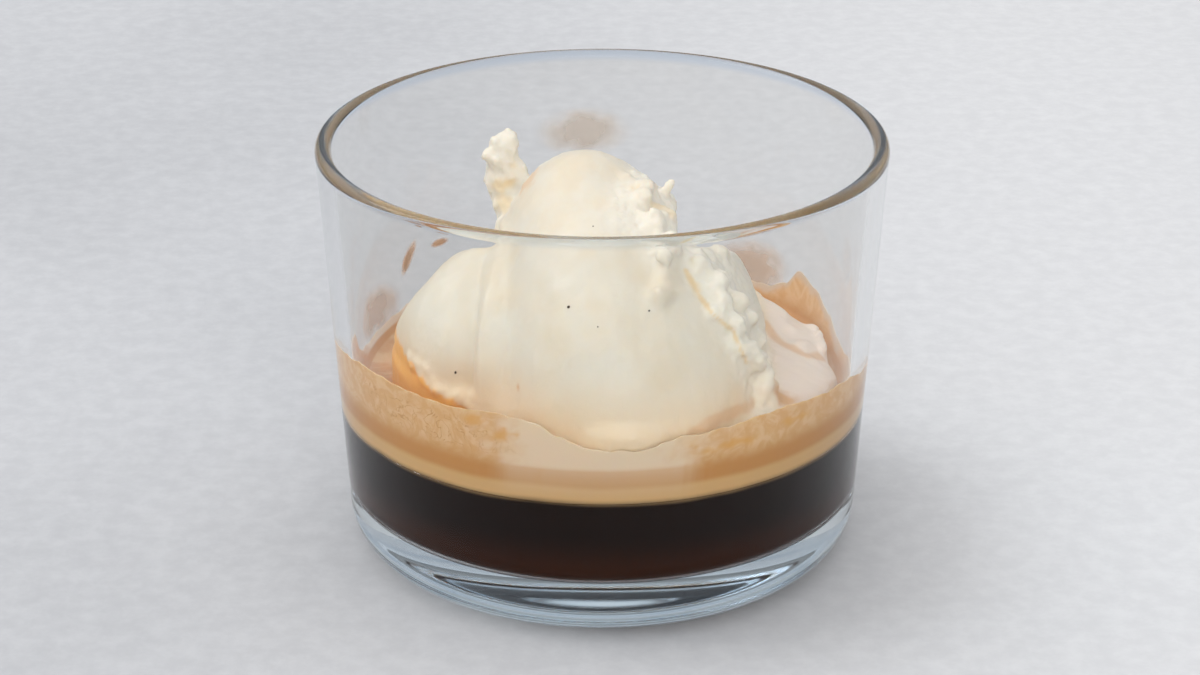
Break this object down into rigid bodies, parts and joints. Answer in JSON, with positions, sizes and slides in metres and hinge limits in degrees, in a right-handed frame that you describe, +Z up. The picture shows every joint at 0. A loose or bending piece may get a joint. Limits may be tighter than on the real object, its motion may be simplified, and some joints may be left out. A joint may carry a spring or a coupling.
{
  "type": "affogato in a glass tumbler",
  "caption": "Scoop of vanilla ice cream in black espresso, with a tan crema layer that clings to the wall, in a low, slightly conical clear tumbler with a thick base.",
  "frame": {"origin": "centre of the glass's foot, on the surface that it stands on", "axes": "+Z up along the glass's axis, -Y towards the side that faces the viewer, +X to the viewer's right"},
  "size_m": [0.0838, 0.0838, 0.0634],
  "materials": {
    "clear_glass": "clear, polished, faintly cool",
    "espresso": "nearly black, red-brown at thin edges, glossy",
    "crema": "tan foam, fine bubbles, softly glossy",
    "vanilla_ice_cream": "warm off-white, satin where it melts, rough where it is torn"
  },
  "bodies": {
    "root": {"glass": "clear_glass", "coffee": "espresso", "crema": "crema", "ice_cream": "vanilla_ice_cream"}
  },
  "joints": []
}
